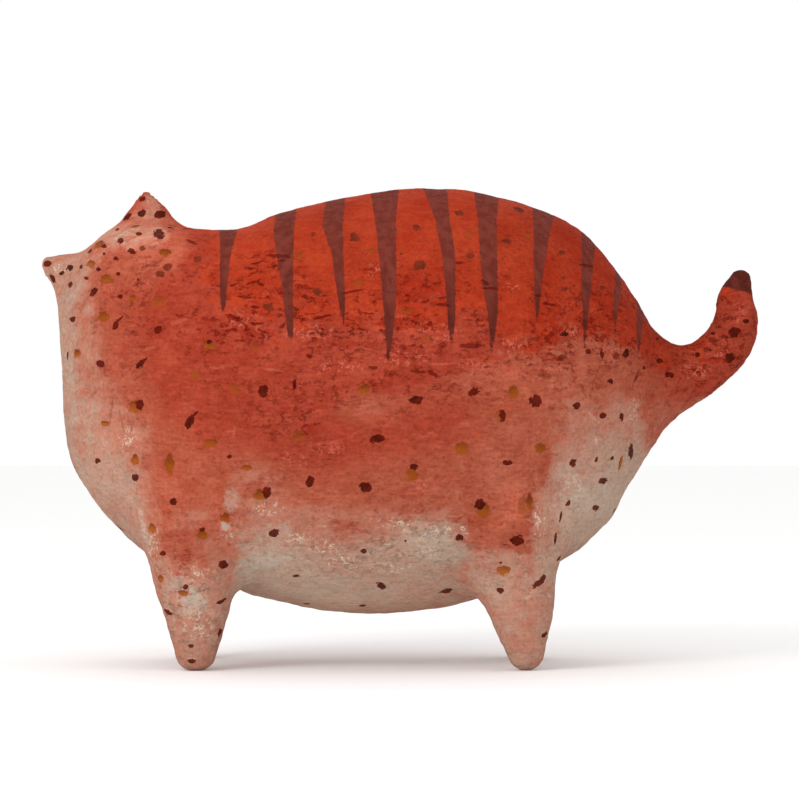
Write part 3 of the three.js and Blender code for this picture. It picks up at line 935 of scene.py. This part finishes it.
def brushed_coats(make, noises):
    """Cream, salmon and vermilion coats that break up where they thin out, and how red they are."""
    patchy = noises.patchy
    strokes = noises.strokes
    ragged = noises.ragged
    pinkness = make.attribute("pinkness")["Fac"]
    pinkness = make.plus(pinkness, make.total((1.0, patchy), (0.4, strokes), (0.7, noises.uprights)))
    cream_tone = make.total((1.0, noises.cloudy), (0.9, noises.uprights), (0.6, noises.streaks))
    cream = make.mix(make.ramp(cream_tone, -0.25, 0.25), paint(GREY_CREAM), paint(CREAM))
    coat = make.mix(make.ramp(pinkness, 0.15, 0.95), cream, paint(PINK))

    flush = make.total((2.4, patchy), (1.6, strokes), (1.2, noises.cloudy))
    flush = make.ramp(make.plus(make.attribute("flush")["Fac"], flush), -1.0, 1.0)
    lit = make.mix(flush, paint(SALMON_LIT), paint(FLUSHED_LIT))
    deep = make.mix(flush, paint(SALMON_DEEP), paint(FLUSHED_DEEP))
    salmon_tone = make.total((0.9, patchy), (0.9, strokes), (0.5, noises.cloudy), (0.5, noises.streaks))
    salmon = make.mix(make.ramp(salmon_tone, -0.3, 0.3), deep, lit)
    salmon_break = make.total((1.4, patchy), (1.0, strokes), (0.8, ragged), (0.4, noises.streaks))
    warm = make.ramp(make.plus(make.attribute("salmon")["Fac"], salmon_break), -1, 1)
    coat = make.mix(make.ramp(warm, 0.02, 0.5), coat, paint(PINK))
    coat = make.mix(make.ramp(warm, 0.4, 0.9), coat, salmon)

    red_tone = make.total((1.2, noises.cloudy), (0.7, strokes), (0.5, patchy))
    vermilion = make.mix(make.ramp(red_tone, -0.3, 0.3), paint(VERMILION_DULL), paint(VERMILION_LIT))
    red_break = make.total((3.6, patchy), (3.0, strokes), (2.6, ragged), (2.4, noises.streaks))
    hot = make.ramp(make.plus(make.attribute("red")["Fac"], red_break), -0.5, 0.5)
    return make.mix(hot, coat, vermilion), make.ramp(warm, 0.3, 0.7)


def worn_paint_and_crevice_shade(make, noises, coat, redness, flecked):
    """Blotches, pits, folds and pale curled flecks; also returns the height that they add. Pits and
    folds are darkened with the crevice colour, partly as paint in them and partly as painted shade.
    """
    rough = make.attribute("rough")["Fac"]
    worn = make.times(rough, make.ramp(noises.worn, 0.34, 0.54))
    pit_place = make.vector("MULTIPLY", noises.place, PIT_STRETCH)
    pit = make.ramp(make.noise(pit_place, PIT_SIZE, 4, 0.65), 0.44, 0.36)
    pit = make.times(pit, worn)
    fold_place = make.vector("MULTIPLY", noises.place, FOLD_STRETCH)
    fold = make.line(make.noise(fold_place, FOLD_SIZE, 4, 0.6), 0.03)
    fold = make.times(fold, make.ramp(make.noise(noises.place, FOLD_BREAK, 2), 0.49, 0.57))
    fold = make.times(fold, make.math("MAXIMUM", worn, 0.2))
    curl = make.line(make.noise(noises.place, CURL_SIZE, 3, 0.6), 0.055)
    curl = make.times(curl, make.ramp(make.noise(noises.place, CURL_BREAK, 2), 0.46, 0.54))
    curl = make.times(curl, make.math("MAXIMUM", flecked, make.times(worn, 0.25)))
    blotch = make.times(rough, redness)
    blotch = make.times(blotch, make.ramp(noises.worn, 0.35, 0.55))
    blotch = make.times(blotch, make.ramp(noises.strokes, 0.47, 0.58))

    # Pits and folds take the crevice colour: partly darker paint in them, partly painted shade in the
    # hollows
    dark = make.mix(redness, paint(PALE_CREVICE_AND_SHADE), paint(CREVICE_RED_AND_SHADE))
    pale = make.mix(redness, paint(PALE_FLECK), paint(FLECK))
    coat = make.mix(make.times(blotch, BLOTCH_COVER), coat, paint(DEEP_RED))
    coat = make.mix(make.times(fold, FOLD_COVER), coat, dark)
    coat = make.mix(make.times(pit, PIT_COVER), coat, dark)
    coat = make.mix(make.times(curl, CURL_COVER), coat, pale)
    wear = make.math("MULTIPLY_ADD", pit, PIT_HEIGHT, make.times(fold, FOLD_HEIGHT))
    return coat, wear


def mark_cover(make, layers, group, wobble):
    """Where and how strongly a group of dabs covers the coat, with torn outlines."""
    strength, soft, torn = MARK_STYLES[group]
    shift = make.vector("SCALE", wobble, torn)
    cover = 0.0
    for name in layers[group]:
        stored = make.attribute(name)
        bent = make.vector("ADD", stored["Color"], shift)
        inside = make.ramp(make.length(bent), 1 + soft, 1 - soft)
        cover = make.math("MAXIMUM", cover, make.times(inside, stored["Alpha"]))
    return make.times(cover, strength)


def torn_edges(make, noises):
    """Small shifts that give painted marks uneven, angular outlines."""
    middle = (0.5, 0.5, 0.5)
    smooth = make.noise(noises.place, WOBBLE_SIZE, 3, 0.6, colour=True)
    smooth = make.vector("SUBTRACT", smooth, middle)
    shards = make.vector("SUBTRACT", make.shards(noises.place, SHARD_SIZE), middle)
    return make.vector("ADD", smooth, make.vector("SCALE", shards, SHARD_SHIFT))


def ochre_shade(make, names):
    """How high on its own dab each place is, so that ochre dabs are darker above."""
    shade = 0.0
    for name in names:
        apart = make.add("ShaderNodeSeparateXYZ")
        make.put(apart.inputs[0], make.attribute(name)["Color"])
        inside = make.ramp(apart.outputs["Z"], 1.0, 0.0)
        shade = make.plus(shade, make.times(apart.outputs["Y"], inside))
    return shade


def painted_marks(make, noises, wobble, coat, redness, layers):
    """Strokes, flakes, dabs, stripes, the tail tip and the face, in the order they were brushed."""
    ragged = noises.ragged
    patches = make.ramp(ragged, 0.35, 0.65)
    dark_paint = make.mix(patches, paint(DARK_DEEP), paint(DARK_LIT))
    thin_paint = make.mix(patches, paint(THIN_DEEP), paint(THIN_LIT))
    tip_paint = make.mix(patches, paint(STRIPE_TIP), paint(STRIPE_DEEP))
    ochre_tone = make.plus(ochre_shade(make, layers["ochre"]), make.total((2.5, ragged)))
    ochre_paint = make.mix(make.ramp(ochre_tone, 1.4, -0.6), paint(OCHRE_DEEP), paint(OCHRE_LIT))
    on_red = make.times(redness, RED_OCHRE_COVER)
    ochre_paint = make.mix(on_red, ochre_paint, paint(OCHRE_ON_RED))
    brushed = make.ramp(noises.brush_marks, 0.35, 0.65)
    stripe_paint = make.mix(brushed, paint(STRIPE_DEEP), paint(STRIPE_LIT))
    run = make.plus(make.attribute("stripe_run")["Fac"], make.total((0.5, noises.patchy)))
    near_tip = make.times(make.ramp(run, 0.35, 1.0), STRIPE_TIP_COVER)
    stripe_paint = make.mix(near_tip, stripe_paint, paint(STRIPE_TIP))

    light = make.mix(redness, paint(PALE_FLECK), paint(FLECK))
    smear = mark_cover(make, layers, "smear", wobble)
    coat = make.mix(make.times(smear, make.ramp(noises.streaks, 0.3, 0.6)), coat, light)
    flaked = mark_cover(make, layers, "pale", wobble)
    coat = make.mix(make.times(flaked, make.ramp(ragged, 0.34, 0.5)), coat, paint(PALE_FLAKE))
    coat = make.mix(mark_cover(make, layers, "ochre", wobble), coat, ochre_paint)
    stripe = make.total((2.0, ragged), (0.6, noises.grain))
    stripe = make.ramp(make.plus(make.attribute("stripe")["Fac"], stripe), -0.3, 0.3)
    coat = make.mix(make.times(stripe, STRIPE_COVER), coat, stripe_paint)
    tip = make.total((3.0, ragged), (1.0, noises.grain))
    tip = make.ramp(make.plus(make.attribute("tip")["Fac"], tip), -0.3, 0.3)
    coat = make.mix(tip, coat, tip_paint)
    coat = make.mix(mark_cover(make, layers, "thin", wobble), coat, thin_paint)
    coat = make.mix(mark_cover(make, layers, "dark", wobble), coat, dark_paint)
    coat = make.mix(mark_cover(make, layers, "face", wobble), coat, dark_paint)
    coat = make.mix(mark_cover(make, layers, "iris", wobble), coat, paint(IRIS))
    return make.mix(mark_cover(make, layers, "pupil", wobble), coat, paint(DARK_DEEP))


def painted_paper(layers):
    """Hand-painted papier-mache: brushed coats over rough pulp, worn, striped and dabbed."""
    material = bpy.data.materials.new("painted_paper")
    material.use_nodes = True
    make = Nodes(material.node_tree)
    shader = material.node_tree.nodes["Principled BSDF"]
    noises = paper_noises(make)
    coat, redness = brushed_coats(make, noises)
    grained = make.total((0.8, noises.grain), (0.35, noises.streaks), (0.2, noises.ragged))
    # The coat is scaled by its grain and by the painted light and shade of the washes
    grain_and_painted_light = make.plus(grained, make.attribute("painted_light_and_shade")["Fac"])
    coat = make.vector("SCALE", coat, grain_and_painted_light)
    wobble = torn_edges(make, noises)
    flecked = mark_cover(make, layers, "flecked", wobble)
    coat, wear = worn_paint_and_crevice_shade(make, noises, coat, redness, flecked)
    coat = painted_marks(make, noises, wobble, coat, redness, layers)
    # Cracks and scratches take the crevice colour, partly paint and partly painted shade, and sink the
    # bump
    crack = mark_cover(make, layers, "crack", wobble)
    coat = make.mix(crack, coat, paint(CREVICE_RED_AND_SHADE))
    wear = make.math("MULTIPLY_ADD", crack, CRACK_HEIGHT, wear)
    pulp = make.total(
        (0.5, noises.grain),
        (0.4, noises.strokes),
        (0.35, noises.streaks),
        (0.9, noises.ragged),
    )
    bump = make.add("ShaderNodeBump")
    bump.inputs["Strength"].default_value = BUMP_STRENGTH
    bump.inputs["Distance"].default_value = BUMP_DEPTH * MM
    make.put(bump.inputs["Height"], make.plus(pulp, wear))
    roughness = make.plus(make.total((0.3, noises.patchy), (0.2, noises.grain)), PAINT_ROUGHNESS)
    make.put(shader.inputs["Base Color"], coat)
    make.put(shader.inputs["Normal"], bump.outputs["Normal"])
    make.put(shader.inputs["Roughness"], roughness)
    shader.inputs["Specular IOR Level"].default_value = PAINT_GLOSS
    return material


# Cat

def make_cat(solid):
    """The painted cat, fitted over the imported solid."""
    skin = even_copy(solid)
    mesh = skin.data
    points = smooth_form(vertex_points(mesh), edge_pairs(mesh))
    move_vertices(mesh, points)
    points = swelled(points, vertex_normals(mesh))
    move_vertices(mesh, points)
    points = folded(points, vertex_normals(mesh))
    move_vertices(mesh, points)
    across, up = side_view(points)
    rough = washed(BASE_ROUGHNESS, ROUGH_WASHES, across, up)
    off_floor = np.clip(points[:, 2] / SOLE_CLEARANCE, 0, 1)
    height = pressed_relief(points, rough) * off_floor
    points = points + vertex_normals(mesh) * height[:, None]
    points[:, 2] = np.maximum(points[:, 2], 0)
    move_vertices(mesh, points)
    mesh.polygons.foreach_set("use_smooth", np.ones(len(mesh.polygons), dtype=bool))
    normals = vertex_normals(mesh)
    across, up = side_view(points)
    red_fade = washed(RED_FADE, RED_FADE_WASHES, across, up)
    salmon_fade = washed(SALMON_FADE, SALMON_FADE_WASHES, across, up)
    salmon = rise_above(SALMON_EDGE, across, up) / salmon_fade
    store_float(mesh, "red", rise_above(RED_EDGE, across, up) / red_fade)
    store_float(mesh, "salmon", washed(salmon, SALMON_WASHES, across, up))
    flush = rise_above(FLUSH_EDGE, across, up) / FLUSH_FADE
    store_float(mesh, "flush", washed(flush, FLUSH_WASHES, across, up))
    store_float(mesh, "pinkness", washed(BASE_PINKNESS, PINK_WASHES, across, up))
    # Painted light and shade, as a brightness for each vertex
    store_float(mesh, "painted_light_and_shade", washed(BASE_PAINTED_LIGHT, PAINTED_LIGHT_AND_SHADE_WASHES, across, up))
    store_float(mesh, "rough", rough)
    stripe, stripe_run = stripe_depth(points, across, up)
    store_float(mesh, "stripe", stripe)
    store_float(mesh, "stripe_run", stripe_run)
    store_float(mesh, "tip", tip_depth(points))
    layers = paint_dabs(mesh, points, normals)
    mesh.materials.append(painted_paper(layers))
    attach(skin, "root")
    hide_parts("cat")


# Studio

def make_floor():
    """A plain pale floor."""
    half = FLOOR_SIZE * MM / 2
    mesh = bpy.data.meshes.new("floor")
    corners = [(-half, -half, 0), (half, -half, 0), (half, half, 0), (-half, half, 0)]
    mesh.from_pydata(corners, [], [(0, 1, 2, 3)])
    floor = bpy.data.objects.new("floor", mesh)
    bpy.context.scene.collection.objects.link(floor)
    material = bpy.data.materials.new("pale_floor")
    material.use_nodes = True
    shader = material.node_tree.nodes["Principled BSDF"]
    shader.inputs["Base Color"].default_value = (*FLOOR_COLOUR, 1.0)
    shader.inputs["Roughness"].default_value = FLOOR_ROUGHNESS
    mesh.materials.append(material)


def make_area_light(name, place, target, size, power):
    """A soft square light aimed at a point."""
    light = bpy.data.lights.new(name, "AREA")
    light.size = size
    light.energy = power
    lamp = bpy.data.objects.new(name, light)
    lamp.location = place
    lamp.rotation_euler = (Vector(target) - Vector(place)).to_track_quat("-Z", "Y").to_euler()
    bpy.context.scene.collection.objects.link(lamp)


def make_studio():
    """Even white surroundings, a soft key light from the upper left and a low fill light."""
    world = bpy.data.worlds.new("studio")
    bpy.context.scene.world = world
    world.use_nodes = True
    background = world.node_tree.nodes["Background"]
    background.inputs["Color"].default_value = (1, 1, 1, 1)
    background.inputs["Strength"].default_value = WORLD_LIGHT
    make_area_light("key", *KEY_LIGHT)
    make_area_light("fill", *FILL_LIGHT)
    bpy.context.scene.view_settings.view_transform = "Standard"


def make_camera():
    """The eye as a camera, level and square to the cat's side."""
    data = bpy.data.cameras.new("side_camera")
    data.lens = LENS
    data.sensor_width = SENSOR
    camera = bpy.data.objects.new("side_camera", data)
    camera.location = Vector((EYE_SHIFT, -EYE_DISTANCE, EYE_HEIGHT)) * MM
    camera.rotation_euler = (math.radians(90), 0, 0)
    bpy.context.scene.collection.objects.link(camera)
    bpy.context.scene.camera = camera


make_camera()
make_floor()
make_studio()
make_cat(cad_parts["cat"])
